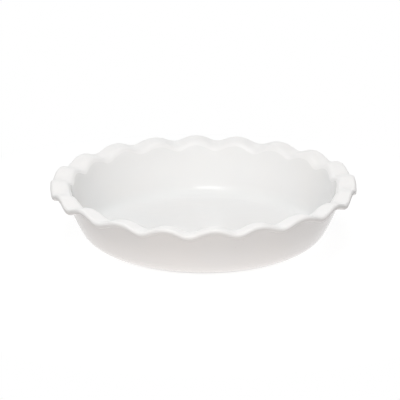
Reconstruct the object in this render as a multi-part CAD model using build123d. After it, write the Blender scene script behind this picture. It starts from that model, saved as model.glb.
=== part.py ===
"""Round stoneware pie dish with a ruffled lip, glazed all over but for its foot ring.

Millimetres, +Z up, origin on the table under the centre of the dish. Angles are in degrees,
turned up from the outward direction in the plane of the section.
"""

from build123d import *
import math
import os

# Ruffled lip, measured to the middle of its rounded edge halfway up a wave
lip_radius = 135.6
lip_height = 51.8
lip_thickness = 5.4
lip_rise_angle = 6.0
lip_bend_radius = 8.0
under_lip_radius = 4.0
wave_count = 20
wave_height = 2.7
crest_flatness_share = 0.1

# Wall, which leans out less towards the lip
wall_thickness = 5.5
wall_bow_radius = 172.0
wall_low_lean = 28.0

# Floor
floor_thickness = 5.5
floor_corner_radius = 17.0

# Heel, which turns up from the foot ring into the wall
heel_radius = 23.0
heel_rise_angle = 6.0

# Foot ring, ground flat and left bare
foot_inset = 43.2
foot_radius = lip_radius - foot_inset
foot_width = 5.0
foot_height = 1.0
foot_step = 0.8
foot_root = 2.0
foot_edge_radius = 0.4

# Glaze
glaze_thickness = 0.4
glaze_line_height = 2.0
foot_wipe_width = 1.5

# Fineness of the waved skin
points_per_wave = 8
bend_steps = 6
edge_steps = 8
wall_steps = 6


def direction(angle):
    """Unit step towards an angle."""
    return math.cos(math.radians(angle)), math.sin(math.radians(angle))


def moved(point, angle, distance):
    along = direction(angle)
    return point[0] + along[0] * distance, point[1] + along[1] * distance


def angle_to(centre, point):
    return math.degrees(math.atan2(point[1] - centre[1], point[0] - centre[0]))


def meeting(centre, radius, point, angle):
    """Where a line through a point leaves a circle, going towards an angle."""
    along = direction(angle)
    gap = point[0] - centre[0], point[1] - centre[1]
    before = gap[0] * along[0] + gap[1] * along[1]
    reach = math.sqrt(before**2 - gap[0] ** 2 - gap[1] ** 2 + radius**2) - before
    return moved(point, angle, reach)


def arc(centre, radius, start, end, steps):
    """Points of an arc about a centre, from one angle to another."""
    turns = [start + (end - start) * step / steps for step in range(steps + 1)]
    return [moved(centre, turn, radius) for turn in turns]


def wave_at(turn):
    """How far the lip is lifted at a turn about the dish, with crests broader than dips."""
    phase = math.radians(wave_count * turn)
    return wave_height * (math.cos(phase) - crest_flatness_share * math.cos(2 * phase))


def section(lift, depth):
    """Stretches of the skin from the floor, up the inside, over the lip and down to the foot.

    The lip is lifted square to its own slope, and the skin lies a depth under the glazed surface.
    Each stretch is a list of points that starts where the last one ends.
    """
    low_angle = -wall_low_lean
    lip_up = 90 + lip_rise_angle

    # Centres of the heel and of the bowed wall, one above the other on the line that they share
    heel_start = foot_radius + foot_step, foot_height
    heel_centre = moved(heel_start, 90 + heel_rise_angle, heel_radius)
    wall_centre = moved(heel_centre, 180 + low_angle, wall_bow_radius - heel_radius)
    outer = wall_bow_radius - depth
    inner = wall_bow_radius - wall_thickness + depth
    heel = heel_radius - depth
    heel_end = math.degrees(math.acos((heel_centre[1] - foot_height - depth) / heel)) - 90

    # Rounded corner between the level floor and the inside of the wall
    corner = floor_corner_radius + depth
    corner_height = foot_height + floor_thickness - depth + corner
    drop = wall_centre[1] - corner_height
    reach = math.sqrt((inner - corner) ** 2 - drop ** 2)
    corner_centre = wall_centre[0] + reach, corner_height
    corner_angle = -math.degrees(math.atan2(drop, reach))

    # Rounded edge of the lip
    edge_centre = moved((lip_radius, lip_height), lip_up, lift)
    half = lip_thickness / 2 - depth
    lip_top = moved(edge_centre, lip_up, half)
    lip_under = moved(edge_centre, lip_up, -half)

    # Bends between the wall and the two faces of the lip
    bend = lip_bend_radius - depth
    bend_line = moved(lip_top, lip_up, -bend)
    bend_centre = meeting(wall_centre, inner + bend, bend_line, lip_rise_angle)
    bend_angle = angle_to(wall_centre, bend_centre)
    under = under_lip_radius + depth
    under_line = moved(lip_under, lip_up, -under)
    under_centre = meeting(wall_centre, outer + under, under_line, lip_rise_angle)
    under_angle = angle_to(wall_centre, under_centre)

    floor_arc = arc(corner_centre, corner, -90, corner_angle, bend_steps)
    inner_arc = arc(wall_centre, inner, corner_angle, bend_angle, wall_steps)
    bend_arc = arc(bend_centre, bend, 180 + bend_angle, lip_up, bend_steps)
    edge_arc = arc(edge_centre, half, lip_up, lip_up - 180, edge_steps)
    under_arc = arc(under_centre, under, lip_up, 180 + under_angle, bend_steps)
    outer_arc = arc(wall_centre, outer, under_angle, low_angle, wall_steps)
    heel_arc = arc(heel_centre, heel, low_angle, heel_end, bend_steps)
    return [
        floor_arc,
        inner_arc,
        bend_arc,
        [bend_arc[-1], edge_arc[0]],
        edge_arc,
        [edge_arc[-1], under_arc[0]],
        under_arc,
        outer_arc,
        heel_arc,
    ]


def ring(places, turns):
    """One closed line round the dish, at the radius and height given for each turn."""
    points = []
    for turn, (radius, height) in zip(turns, places):
        x, y = direction(turn)
        points.append((radius * x, radius * y, height))
    return Wire([Edge.make_spline(points, periodic=True, parameters=turns)])


def skinned(depth):
    """The dish above its foot as one solid, a depth under the glazed surface.

    Each stretch of the section is one face, skinned through rings that follow the waves.
    """
    count = wave_count * points_per_wave
    turns = [360 * step / count for step in range(count + 1)]
    sections = [section(wave_at(turn), depth) for turn in turns[:-1]]
    strips = [[ring(places, turns) for places in zip(*stretch)] for stretch in zip(*sections)]
    floor = Face(strips[0][0])
    underside = Face(strips[-1][-1])
    faces = [face for rings in strips for face in Shell.make_loft(rings).faces()]
    return Solid(Shell([floor, *faces, underside]))


def foot_ring():
    """The ring that the dish stands on, rooted in the floor above it."""
    inner = foot_radius - foot_width
    height = foot_height + glaze_thickness + foot_root
    foot = Solid.make_cylinder(foot_radius, height) - Solid.make_cylinder(inner, height)
    standing_edges = foot.edges().group_by(Axis.Z)[0]
    return fillet(standing_edges, foot_edge_radius)


def clay_body():
    return skinned(glaze_thickness) + foot_ring()


def glaze_coat(clay):
    """The glass over the inside, the lip and the wall, down to the glaze line."""
    glazed = skinned(0).split(Plane.XY.offset(glaze_line_height), keep=Keep.TOP)
    return glazed - clay


def underside_glaze():
    """The patch of glaze on the level underside, wiped back from the foot ring."""
    radius = foot_radius - foot_width - foot_wipe_width
    return Solid.make_cylinder(radius, glaze_thickness, Plane(origin=(0, 0, foot_height)))


def write(name, shape):
    os.makedirs("parts", exist_ok=True)
    export_step(shape, f"parts/{name}.step")


clay = clay_body()
write("clay_body", clay)
write("glaze_coat", glaze_coat(clay))
write("underside_glaze", underside_glaze())
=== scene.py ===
"""White ruffled pie dish of glazed stoneware, on a pale studio floor.

Metres, +Z up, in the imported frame. Angles are in degrees, turned up from the outward direction
in the plane of the section. The waves, the lip and the glaze line wander a little, as on a dish
that was pressed and glazed by hand. The lip moves inwards and down, and never outwards.
"""

import math

import bpy
from mathutils import Matrix, Vector, noise


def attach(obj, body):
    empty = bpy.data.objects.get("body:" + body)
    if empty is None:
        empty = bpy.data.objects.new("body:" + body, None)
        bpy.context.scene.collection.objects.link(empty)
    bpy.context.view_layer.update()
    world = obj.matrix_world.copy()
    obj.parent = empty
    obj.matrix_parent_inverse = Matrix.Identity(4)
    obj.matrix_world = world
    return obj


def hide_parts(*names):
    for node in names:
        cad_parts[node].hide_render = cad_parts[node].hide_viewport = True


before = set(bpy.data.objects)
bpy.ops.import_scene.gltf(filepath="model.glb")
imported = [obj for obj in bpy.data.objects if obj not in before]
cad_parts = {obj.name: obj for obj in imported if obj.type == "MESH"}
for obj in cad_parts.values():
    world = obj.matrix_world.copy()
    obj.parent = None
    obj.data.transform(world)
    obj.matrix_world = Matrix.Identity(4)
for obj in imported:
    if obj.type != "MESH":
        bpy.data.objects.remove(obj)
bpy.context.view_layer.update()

mm = 0.001

# Ruffled lip, measured to the middle of its rounded edge halfway up a wave
lip_radius = 135.6 * mm
lip_height = 51.8 * mm
lip_thickness = 5.4 * mm
lip_rise_angle = 6.0
lip_bend_radius = 8.0 * mm
under_lip_radius = 4.0 * mm
wave_count = 20
wave_height = 2.7 * mm
crest_flatness_share = 0.1

# Wall, floor and heel
wall_thickness = 5.5 * mm
wall_bow_radius = 172.0 * mm
wall_low_lean = 28.0
floor_thickness = 5.5 * mm
floor_corner_radius = 17.0 * mm
heel_radius = 23.0 * mm
heel_rise_angle = 6.0

# Foot ring
foot_inset = 43.2 * mm
foot_radius = lip_radius - foot_inset
foot_width = 5.0 * mm
foot_height = 1.0 * mm
foot_step = 0.8 * mm
foot_edge_radius = 0.4 * mm

# Glaze
glaze_thickness = 0.4 * mm
glaze_line_height = 2.0 * mm
foot_wipe_width = 1.5 * mm

# Hand of the maker
wave_drift_angle = 1.2
wave_loss_share = 0.13
lip_wander = 1.2 * mm
lip_sag = 2.8 * mm
skin_ripple = 0.10 * mm
skin_ripple_size = 38.0 * mm
glaze_line_wander_angle = 1.4
patch_wander = 0.6 * mm

# Sines of a share, a count of waves and a phase, most of them fitted to the photo by another script
drift_shares = ((0.9, 1, 28), (0.8, 2, 175), (1.6, 4, 355), (1.0, 6, 184), (0.7, 8, 203), (0.7, 9, 333))
flattening_shares = ((0.9, 2, 185), (0.6, 3, 239), (1.0, 5, 321), (0.6, 9, 130))
wander_shares = ((1.6, 1, 90), (0.4, 2, 75), (0.3, 6, 200), (0.2, 17, 20))
sag_shares = ((1.5, 1, 208), (1.0, 2, 331), (0.5, 3, 104), (1.0, 4, 170))

# Sines of the same kind, listed
glaze_line_shares = ((1.0, 3, 200), (0.7, 8, 30), (0.5, 19, 110))
patch_shares = ((1.0, 4, 50), (0.8, 9, 10), (0.6, 23, 200), (0.3, 41, 0))

# Fineness of the meshes
turns_per_wave = 22
turn_count = wave_count * turns_per_wave
floor_steps = 16
corner_steps = 10
wall_steps = 18
bend_steps = 9
flange_steps = 4
edge_steps = 14
heel_steps = 12
bead_steps = 6
hidden_share = 0.4

# Where the glaze pools, and how thin it is where a stretch starts and where it ends
pooled_shares = {"corner": 1.0, "under_bend": 0.5}
thin_shares = {"bend": (0.3, 1.0), "flange": (1.0, 1.0), "edge": (1.0, 0.4), "bead": (0.6, 0.6)}

# White gloss glaze
glaze_white = (0.865, 0.860, 0.850)
glaze_cool = (0.850, 0.853, 0.850)
glaze_pooled = (0.815, 0.830, 0.822)
glaze_thin = (0.874, 0.864, 0.854)
glaze_speck = (0.560, 0.520, 0.470)
glaze_ior = 1.5
glaze_roughness = 0.12
glaze_roughness_spread = 0.06
gloss_noise_size = 30 * mm
gloss_noise_range = (0.3, 0.7)
thin_roughness = 0.32
thin_noise_size = 9 * mm
thin_noise_range = (0.35, 0.7)
thin_colour_shares = (0.3, 0.9)
pooled_colour_share = 0.45
cloud_size = 70 * mm
cloud_noise_range = (0.35, 0.65)
wave_bump_size = 16 * mm
wave_bump_depth = 0.10 * mm
peel_size = 2.2 * mm
peel_depth = 0.006 * mm
speck_spacing = 7 * mm
speck_size = 0.45 * mm
speck_rarity = 0.58
speck_colour_share = 0.35

# Bare stoneware
clay_pale = (0.720, 0.670, 0.600)
clay_dark = (0.610, 0.545, 0.470)
clay_speck = (0.330, 0.270, 0.215)
clay_cloud_size = 14 * mm
clay_cloud_noise_range = (0.35, 0.68)
clay_speck_spacing = 2.4 * mm
clay_speck_size = 0.5 * mm
clay_speck_rarity = 0.5
clay_speck_colour_share = 0.7
clay_grain_size = 0.7 * mm
clay_grain_depth = 0.05 * mm
clay_pit_size = 3.0 * mm
clay_pit_depth = 0.08 * mm
clay_roughness_size = 5 * mm
clay_roughness_noise_range = (0.3, 0.7)
clay_roughness_range = (0.75, 0.92)
clay_specular_level = 0.3

# Specks of either material, against their own size and spacing
speck_full_share = 0.5
speck_noise_share = 2.3
speck_noise_fade = 0.04

# Camera, as the photograph was taken
camera_azimuth = -3.2
camera_elevation = 18.6
camera_distance = 1.872
camera_lens = 186.4
camera_sensor = 36.0
aim_height = 29.0 * mm
aim_right = -3.3 * mm
aim_up = 5.9 * mm

# Studio
white = (1.0, 1.0, 1.0)
ambient_level = 0.29
floor_size = 6.0
floor_gap = 0.05 * mm
floor_light = (1.05, 1.0, 0.98)
floor_light_level = 0.93
floor_light_start = 0.10
floor_light_end = 0.42
# Painted contact shadow round the foot: where it starts and ends, and the floor's seen glow at its
# darkest
floor_painted_shadow_start = 0.091
floor_painted_shadow_end = 0.096
floor_painted_shadow_glow = 0.50
floor_shade_share = 0.20
floor_glow = 0.88
floor_fade_start = 0.16
floor_fade_end = 0.32

# Softboxes, which all face the dish, and two of which glint in the glaze
softboxes = {
    "key": {
        "azimuth": -14.0, "elevation": 66.0, "distance": 1.0, "width": 0.30, "height": 0.34,
        "power": 1.3, "colour": white, "glints": True,
    },
    "back": {
        "azimuth": 180.0, "elevation": 30.0, "distance": 1.6, "width": 1.5, "height": 0.8,
        "power": 2.2, "colour": white, "glints": True,
    },
    "top": {
        "azimuth": 0.0, "elevation": 88.0, "distance": 1.6, "width": 1.0, "height": 1.0,
        "power": 7.7, "colour": white, "glints": False,
    },
    "front": {
        "azimuth": -18.0, "elevation": 52.0, "distance": 1.6, "width": 1.2, "height": 0.6,
        "power": 5.4, "colour": white, "glints": False,
    },
    "low": {
        "azimuth": -4.0, "elevation": 15.0, "distance": 1.6, "width": 0.9, "height": 0.5,
        "power": 5.7, "colour": (1.06, 1.0, 0.965), "glints": False,
    },
}


# Section of the dish

def direction(angle):
    """Unit step towards an angle."""
    return math.cos(math.radians(angle)), math.sin(math.radians(angle))


def moved(point, angle, distance):
    along = direction(angle)
    return point[0] + along[0] * distance, point[1] + along[1] * distance


def angle_to(centre, point):
    return math.degrees(math.atan2(point[1] - centre[1], point[0] - centre[0]))


def meeting(centre, radius, point, angle):
    """Where a line through a point leaves a circle, going towards an angle."""
    along = direction(angle)
    gap = point[0] - centre[0], point[1] - centre[1]
    before = gap[0] * along[0] + gap[1] * along[1]
    reach = math.sqrt(before**2 - gap[0] ** 2 - gap[1] ** 2 + radius**2) - before
    return moved(point, angle, reach)


def arc(centre, radius, start, end, steps):
    """Points of an arc about a centre, from one angle to another."""
    turns = [start + (end - start) * step / steps for step in range(steps + 1)]
    return [moved(centre, turn, radius) for turn in turns]


def line(start, end, steps):
    """Evenly spaced points from one place to another."""
    shares = [step / steps for step in range(steps + 1)]
    return [tuple(a + (b - a) * share for a, b in zip(start, end)) for share in shares]


def swing(turn, shares):
    """A smooth number from -1 to 1 that comes back on itself after a full turn."""
    total = sum(share for share, count, phase in shares)
    value = sum(share * math.sin(math.radians(count * turn + phase)) for share, count, phase in shares)
    return value / total


def loss(turn, shares):
    """Like swing, but from 0 to 1."""
    return (1 + swing(turn, shares)) / 2


def lip_at(turn):
    """Lift of the lip's wave at a turn, how far the lip is drawn in, and how far it sags."""
    drift = wave_drift_angle * swing(turn, drift_shares)
    phase = math.radians(wave_count * (turn + drift))
    wave = wave_height * (math.cos(phase) - crest_flatness_share * math.cos(2 * phase))
    kept = 1 - wave_loss_share * loss(turn, flattening_shares)
    inset = lip_wander * loss(turn, wander_shares)
    sag = lip_sag * loss(turn, sag_shares)
    return wave * kept, inset, sag


def section(turn, depth, share=1.0):
    """Stretches of the skin from the floor, up the inside, over the lip and down to the foot.

    The skin lies a depth under the glazed surface. A share under 1 thins its points.
    """
    def steps(count):
        return max(2, round(count * share))

    lift, inset, sag = lip_at(turn)
    low_angle = -wall_low_lean
    lip_up = 90 + lip_rise_angle

    # Centres of the heel and of the bowed wall, on the line that they share
    heel_start = foot_radius + foot_step, foot_height
    heel_centre = moved(heel_start, 90 + heel_rise_angle, heel_radius)
    wall_centre = moved(heel_centre, 180 + low_angle, wall_bow_radius - heel_radius)
    outer = wall_bow_radius - depth
    inner = wall_bow_radius - wall_thickness + depth
    heel = heel_radius - depth
    heel_end = math.degrees(math.acos((heel_centre[1] - foot_height - depth) / heel)) - 90

    # Rounded corner between the level floor and the inside of the wall
    corner = floor_corner_radius + depth
    corner_height = foot_height + floor_thickness - depth + corner
    drop = wall_centre[1] - corner_height
    reach = math.sqrt((inner - corner) ** 2 - drop**2)
    corner_centre = wall_centre[0] + reach, corner_height
    corner_angle = -math.degrees(math.atan2(drop, reach))

    # Rounded edge of the lip
    edge_centre = moved((lip_radius - inset, lip_height - sag), lip_up, lift)
    half = lip_thickness / 2 - depth
    lip_top = moved(edge_centre, lip_up, half)
    lip_under = moved(edge_centre, lip_up, -half)

    # Bends between the wall and the two faces of the lip
    bend = lip_bend_radius - depth
    bend_line = moved(lip_top, lip_up, -bend)
    bend_centre = meeting(wall_centre, inner + bend, bend_line, lip_rise_angle)
    bend_angle = angle_to(wall_centre, bend_centre)
    under = under_lip_radius + depth
    under_line = moved(lip_under, lip_up, -under)
    under_centre = meeting(wall_centre, outer + under, under_line, lip_rise_angle)
    under_angle = angle_to(wall_centre, under_centre)

    # Glaze line on the heel, and the rounded bead that ends the glaze there
    glaze_line = glaze_line_angle(heel_centre)
    wander = glaze_line_wander_angle * swing(turn, glaze_line_shares)
    heel_cut = max(heel_end, glaze_line + wander)
    bead = glaze_thickness / 2
    bead_centre = moved(heel_centre, heel_cut, heel_radius - bead)

    floor_arc = arc(corner_centre, corner, -90, corner_angle, steps(corner_steps))
    inner_arc = arc(wall_centre, inner, corner_angle, bend_angle, steps(wall_steps))
    bend_arc = arc(bend_centre, bend, 180 + bend_angle, lip_up, steps(bend_steps))
    edge_arc = arc(edge_centre, half, lip_up, lip_up - 180, steps(edge_steps))
    under_arc = arc(under_centre, under, lip_up, 180 + under_angle, steps(bend_steps))
    outer_arc = arc(wall_centre, outer, under_angle, low_angle, steps(wall_steps))
    return {
        "floor": line((0, floor_arc[0][1]), floor_arc[0], steps(floor_steps))[1:],
        "corner": floor_arc,
        "inside": inner_arc,
        "bend": bend_arc,
        "flange": line(bend_arc[-1], edge_arc[0], steps(flange_steps)),
        "edge": edge_arc,
        "under": line(edge_arc[-1], under_arc[0], steps(flange_steps)),
        "under_bend": under_arc,
        "outside": outer_arc,
        "heel": arc(heel_centre, heel, low_angle, heel_cut, steps(heel_steps)),
        "bead": arc(bead_centre, bead, heel_cut, heel_cut - 180, bead_steps),
        "bare_heel": arc(heel_centre, heel, heel_cut, heel_end, steps(heel_steps)),
    }


def glaze_line_angle(heel_centre):
    """Where the heel comes down to the glaze line."""
    return -math.degrees(math.asin((heel_centre[1] - glaze_line_height) / heel_radius))


# Meshes

glazed_stretches = (
    "floor", "corner", "inside", "bend", "flange", "edge", "under", "under_bend", "outside", "heel",
)


def joined(stretches, names):
    """One run of (radius, height, thin, pooled) through the named stretches."""
    run = []
    for name in names:
        points = stretches[name]
        for index, point in enumerate(points):
            if run and index == 0:
                continue
            along = index / (len(points) - 1)
            thin_start, thin_end = thin_shares.get(name, (0, 0))
            thin = thin_start + (thin_end - thin_start) * along
            pooled = pooled_shares.get(name, 0) * math.sin(math.pi * along)
            run.append((*point, thin, pooled))
    return run


def turned(name, run_at, top, bottom):
    """A closed mesh through the runs at each turn, from a pole on the axis to another one."""
    verts = [Vector((0, 0, top)), Vector((0, 0, bottom))]
    thin = [0.0, 0.0]
    pooled = [0.0, 0.0]
    turns = [360 * step / turn_count for step in range(turn_count)]
    size = len(run_at(0))
    for turn in turns:
        x, y = direction(turn)
        for radius, height, thin_here, pooled_here in run_at(turn):
            verts.append(Vector((radius * x, radius * y, height)))
            thin.append(thin_here)
            pooled.append(pooled_here)
    faces = []
    for step in range(turn_count):
        here = 2 + step * size
        there = 2 + (step + 1) % turn_count * size
        faces.append((0, here, there))
        for index in range(size - 1):
            faces.append((here + index, here + index + 1, there + index + 1, there + index))
        faces.append((here + size - 1, 1, there + size - 1))
    mesh = bpy.data.meshes.new(name)
    mesh.from_pydata(verts, [], faces)
    mesh.polygons.foreach_set("use_smooth", [True] * len(faces))
    for label, values in (("thin", thin), ("pooled", pooled)):
        mesh.attributes.new(label, "FLOAT", "POINT").data.foreach_set("value", values)
    mesh.update()
    piece = bpy.data.objects.new(name, mesh)
    bpy.context.collection.objects.link(piece)
    return piece


def ripple(piece, outer_count, size):
    """Draws the glazed skin in by a slow ripple, along its normals.

    The skin is the first pole and the first points of each run, which starts after both poles.
    """
    mesh = piece.data
    normals = [vertex.normal.copy() for vertex in mesh.vertices]
    for vertex, normal in zip(mesh.vertices, normals):
        place = vertex.index - 2
        if vertex.index == 0 or place >= 0 and place % size < outer_count:
            share = (1 + noise.noise(vertex.co / skin_ripple_size)) / 2
            vertex.co -= normal * skin_ripple * share
    mesh.update()


def glaze_run(turn):
    """Out over the glazed skin to the bead at the glaze line, and back along the clay."""
    outer = joined(section(turn, 0), glazed_stretches + ("bead",))
    inner = joined(section(turn, glaze_thickness, hidden_share), glazed_stretches)
    return outer + [(radius, height, 0, 0) for radius, height, _, _ in reversed(inner[:-1])]


def glaze_shell():
    top = foot_height + floor_thickness
    piece = turned("glaze_shell", glaze_run, top, top - glaze_thickness)
    outer_count = len(joined(section(0, 0), glazed_stretches))
    ripple(piece, outer_count, len(glaze_run(0)))
    return piece


def foot_run():
    """The bare foot ring, from the heel down, across its ground face and up into the recess."""
    inner = foot_radius - foot_width
    ceiling = foot_height + glaze_thickness
    outside = foot_radius - foot_edge_radius, foot_edge_radius
    inside = inner + foot_edge_radius, foot_edge_radius
    return [
        (foot_radius, ceiling),
        *arc(outside, foot_edge_radius, 0, -90, bead_steps),
        *arc(inside, foot_edge_radius, -90, -180, bead_steps),
        *line((inner, ceiling), (0, ceiling), floor_steps)[:-1],
    ]


def body_run(turn):
    """Out over the clay under the glaze, down the bare heel and across the foot ring."""
    stretches = section(turn, glaze_thickness, hidden_share)
    clay = joined(stretches, glazed_stretches + ("bare_heel",))
    return clay + [(radius, height, 0, 0) for radius, height in foot_run()]


def stoneware_body():
    top = foot_height + floor_thickness - glaze_thickness
    return turned("stoneware_body", body_run, top, foot_height + glaze_thickness)


def patch_run(turn):
    """The wiped patch of glaze on the underside, with a rounded and slightly uneven edge."""
    half = glaze_thickness / 2
    wander = patch_wander * loss(turn, patch_shares)
    edge = foot_radius - foot_width - foot_wipe_width - half - wander
    rim = arc((edge, foot_height + half), half, 90, -90, bead_steps)
    top = line((0, rim[0][1]), rim[0], floor_steps)[1:-1]
    base = line(rim[-1], (0, rim[-1][1]), floor_steps)[1:-1]
    return [(radius, height, 0, 0) for radius, height in top + rim + base]


def underside_patch():
    return turned("underside_patch", patch_run, foot_height + glaze_thickness, foot_height)


# Materials

class Nodes:
    """A new node tree, with short calls to add nodes and link them."""

    def __init__(self, owner):
        owner.use_nodes = True
        self.tree = owner.node_tree
        self.tree.nodes.clear()

    def add(self, kind, settings=None, **inputs):
        """A node with its settings, and its inputs as values or as outputs to link."""
        node = self.tree.nodes.new("ShaderNode" + kind)
        for name, value in (settings or {}).items():
            setattr(node, name, value)
        for name, value in inputs.items():
            self.put(node, name.replace("_", " "), value)
        return node

    def put(self, node, name, value):
        socket = node.inputs[int(name)] if name.isdigit() else node.inputs[name]
        if isinstance(value, bpy.types.NodeSocket):
            self.tree.links.new(value, socket)
        elif isinstance(value, tuple) and len(value) == 3 and socket.type == "RGBA":
            socket.default_value = (*value, 1.0)
        else:
            socket.default_value = value

    def noise(self, size, detail=3.0, roughness=0.5):
        """Noise with features of about a size in metres."""
        place = self.add("TexCoord").outputs["Object"]
        node = self.add("TexNoise", Vector=place, Scale=1 / size, Detail=detail, Roughness=roughness)
        return node.outputs["Fac"]

    def ramp(self, value, low, high, to_low=0.0, to_high=1.0):
        """A value carried from one range to another, and held at its ends."""
        node = self.add("MapRange", Value=value)
        ends = {"From Min": low, "From Max": high, "To Min": to_low, "To Max": to_high}
        for name, number in ends.items():
            node.inputs[name].default_value = number
        return node.outputs["Result"]

    def times(self, a, b):
        return self.worked("MULTIPLY", a, b)

    def plus(self, a, b):
        return self.worked("ADD", a, b)

    def worked(self, operation, a, b):
        """What an operation makes of two numbers."""
        node = self.add("Math", {"operation": operation})
        self.put(node, "0", a)
        self.put(node, "1", b)
        return node.outputs[0]

    def mix(self, share, a, b):
        """Colour a, with a share of colour b over it."""
        node = self.add("Mix", {"data_type": "RGBA"})
        self.put(node, "0", share)
        self.put(node, "6", a)
        self.put(node, "7", b)
        return node.outputs[2]

    def blend(self, share, a, b):
        """Shader a, giving way to shader b by a share."""
        node = self.add("MixShader")
        self.put(node, "0", share)
        self.put(node, "1", a)
        self.put(node, "2", b)
        return node.outputs[0]

    def share_of(self, label):
        """A share kept on the mesh's points."""
        return self.add("Attribute", {"attribute_name": label}).outputs["Fac"]

    def specks(self, spacing, size, rarity):
        """Round specks of a size at about a spacing, where a noise lets them through."""
        place = self.add("TexCoord").outputs["Object"]
        cells = self.add("TexVoronoi", Vector=place, Scale=1 / spacing)
        edge = size / spacing
        dots = self.ramp(cells.outputs["Distance"], edge, edge * speck_full_share)
        patches = self.noise(spacing * speck_noise_share, detail=1.0)
        return self.times(dots, self.ramp(patches, rarity, rarity + speck_noise_fade))

    def bump(self, height, depth, normal=None):
        node = self.add("Bump", Height=height, Distance=depth)
        if normal:
            self.put(node, "Normal", normal)
        return node.outputs["Normal"]

    def finish(self, shader):
        kind = "OutputWorld" if isinstance(self.tree.id_data, bpy.types.World) else "OutputMaterial"
        self.add(kind, Surface=shader)


def gloss_glaze():
    """White gloss glaze: faintly clouded, thin and satin on the lip, pooled in corners, few specks."""
    material = bpy.data.materials.new("white_gloss_glaze")
    nodes = Nodes(material)
    clouds = nodes.ramp(nodes.noise(cloud_size), *cloud_noise_range)
    colour = nodes.mix(clouds, glaze_white, glaze_cool)
    pooled = nodes.times(nodes.share_of("pooled"), pooled_colour_share)
    colour = nodes.mix(pooled, colour, glaze_pooled)
    thin = nodes.share_of("thin")
    patches = nodes.ramp(nodes.noise(thin_noise_size), *thin_noise_range, *thin_colour_shares)
    colour = nodes.mix(nodes.times(thin, patches), colour, glaze_thin)
    specks = nodes.specks(speck_spacing, speck_size, speck_rarity)
    colour = nodes.mix(nodes.times(specks, speck_colour_share), colour, glaze_speck)
    waviness = nodes.bump(nodes.noise(wave_bump_size, detail=2.0), wave_bump_depth)
    peel = nodes.bump(nodes.noise(peel_size, detail=2.0), peel_depth, waviness)
    shader = nodes.add("BsdfPrincipled", Base_Color=colour, Normal=peel)
    most = glaze_roughness + glaze_roughness_spread
    gloss = nodes.ramp(nodes.noise(gloss_noise_size), *gloss_noise_range, glaze_roughness, most)
    satin = nodes.times(thin, thin_roughness)
    nodes.put(shader, "Roughness", nodes.plus(gloss, satin))
    shader.inputs["IOR"].default_value = glaze_ior
    nodes.finish(shader.outputs["BSDF"])
    return material


def bare_clay():
    """Fired stoneware without glaze: dry, warm and finely speckled, with a ground grain."""
    material = bpy.data.materials.new("bare_stoneware")
    nodes = Nodes(material)
    cloud_noise = nodes.noise(clay_cloud_size, detail=5.0, roughness=0.6)
    clouds = nodes.ramp(cloud_noise, *clay_cloud_noise_range)
    colour = nodes.mix(clouds, clay_pale, clay_dark)
    specks = nodes.specks(clay_speck_spacing, clay_speck_size, clay_speck_rarity)
    colour = nodes.mix(nodes.times(specks, clay_speck_colour_share), colour, clay_speck)
    grain = nodes.bump(nodes.noise(clay_grain_size, detail=4.0, roughness=0.7), clay_grain_depth)
    pits = nodes.bump(nodes.noise(clay_pit_size), clay_pit_depth, grain)
    shader = nodes.add("BsdfPrincipled", Base_Color=colour, Normal=pits)
    dryness = nodes.noise(clay_roughness_size)
    dryness = nodes.ramp(dryness, *clay_roughness_noise_range, *clay_roughness_range)
    nodes.put(shader, "Roughness", dryness)
    shader.inputs["Specular IOR Level"].default_value = clay_specular_level
    nodes.finish(shader.outputs["BSDF"])
    return material


# Studio

def seen_directly(nodes):
    """1 for rays that show the background, straight or in a reflection, and 0 for those that light."""
    path = nodes.add("LightPath")
    seen = path.outputs["Is Camera Ray"]
    for name in ("Is Glossy Ray", "Is Transmission Ray"):
        seen = nodes.worked("MAXIMUM", seen, path.outputs[name])
    return seen


def pale_floor():
    """White where it is seen, but for the dish's shadow and a painted contact shadow round the foot,
    and lighting the dish like a pale table whose light is dimmed by painted shade near the foot.
    """
    material = bpy.data.materials.new("pale_floor")
    nodes = Nodes(material)
    length = nodes.add("VectorMath", {"operation": "LENGTH"})
    nodes.put(length, "0", nodes.add("TexCoord").outputs["Object"])
    reach = length.outputs["Value"]
    # Painted shadow: a ring round the foot where the floor's seen glow and its light on the dish are
    # turned down
    beyond_painted_shadow = nodes.ramp(reach, floor_painted_shadow_start, floor_painted_shadow_end)
    light = nodes.ramp(reach, floor_light_start, floor_light_end, floor_light_level, 0.0)
    table = nodes.add("Emission", Color=floor_light, Strength=nodes.times(light, beyond_painted_shadow))
    shade = nodes.add("BsdfDiffuse", Color=(floor_shade_share,) * 3)
    glow_level = nodes.ramp(beyond_painted_shadow, 0, 1, floor_painted_shadow_glow, floor_glow)
    glow = nodes.add("Emission", Color=white, Strength=glow_level)
    near = nodes.add("AddShader")
    nodes.put(near, "0", shade.outputs[0])
    nodes.put(near, "1", glow.outputs[0])
    far = nodes.add("Emission", Color=white, Strength=1.0)
    fade = nodes.ramp(reach, floor_fade_start, floor_fade_end)
    pale = nodes.blend(fade, near.outputs[0], far.outputs[0])
    nodes.finish(nodes.blend(seen_directly(nodes), table.outputs[0], pale))
    return material


def studio_floor():
    mesh = bpy.data.meshes.new("studio_floor")
    half = floor_size / 2
    corners = [(-half, -half), (half, -half), (half, half), (-half, half)]
    mesh.from_pydata([(x, y, -floor_gap) for x, y in corners], [], [(0, 1, 2, 3)])
    floor = bpy.data.objects.new("studio_floor", mesh)
    bpy.context.collection.objects.link(floor)
    mesh.materials.append(pale_floor())


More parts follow.
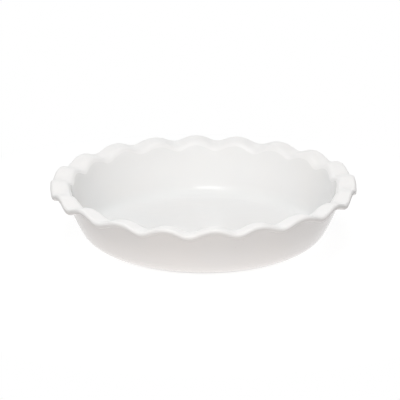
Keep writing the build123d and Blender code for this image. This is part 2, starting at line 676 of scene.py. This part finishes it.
def studio_world():
    """White where it is seen, and a weaker light from all round."""
    world = bpy.data.worlds.new("studio")
    bpy.context.scene.world = world
    nodes = Nodes(world)
    level = nodes.ramp(seen_directly(nodes), 0, 1, ambient_level, 1.0)
    sky = nodes.add("Background", Color=white, Strength=level)
    nodes.finish(sky.outputs[0])


def facing(azimuth, elevation):
    """Unit steps to the right, up and back, for a camera or lamp that looks at the dish."""
    a, e = math.radians(azimuth), math.radians(elevation)
    back = Vector((math.sin(a) * math.cos(e), -math.cos(a) * math.cos(e), math.sin(e)))
    right = Vector((math.cos(a), math.sin(a), 0))
    return right, back.cross(right), back


def placed(thing, azimuth, elevation, location):
    """Puts a camera or lamp at a place, looking along the direction."""
    right, up, back = facing(azimuth, elevation)
    turn = Matrix((right, up, back)).transposed().to_4x4()
    thing.matrix_world = Matrix.Translation(location) @ turn
    bpy.context.collection.objects.link(thing)


def softbox(name, azimuth, elevation, distance, width, height, power, colour, glints):
    """A wide lamp that faces the dish and that the camera doesn't see."""
    lamp = bpy.data.lights.new(name, "AREA")
    lamp.shape = "RECTANGLE"
    lamp.size = width
    lamp.size_y = height
    lamp.energy = power
    lamp.color = colour
    thing = bpy.data.objects.new(name, lamp)
    thing.visible_camera = False
    thing.visible_glossy = glints
    placed(thing, azimuth, elevation, facing(azimuth, elevation)[2] * distance)


def photo_camera():
    lens = bpy.data.cameras.new("photo_camera")
    lens.sensor_width = camera_sensor
    lens.lens = camera_lens
    camera = bpy.data.objects.new("photo_camera", lens)
    right, up, back = facing(camera_azimuth, camera_elevation)
    aim = Vector((0, 0, aim_height)) + right * aim_right + up * aim_up
    placed(camera, camera_azimuth, camera_elevation, aim + back * camera_distance)
    bpy.context.scene.camera = camera


def dress(piece, node, material):
    """Lets a piece stand for a node of the frame, in its finish."""
    piece.data.materials.append(material)
    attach(piece, "root")
    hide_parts(node)


glaze = gloss_glaze()
dress(glaze_shell(), "glaze_coat", glaze)
dress(underside_patch(), "underside_glaze", glaze)
dress(stoneware_body(), "clay_body", bare_clay())
studio_floor()
studio_world()
for name, settings in softboxes.items():
    softbox(name, **settings)
photo_camera()
bpy.context.scene.view_settings.view_transform = "Standard"
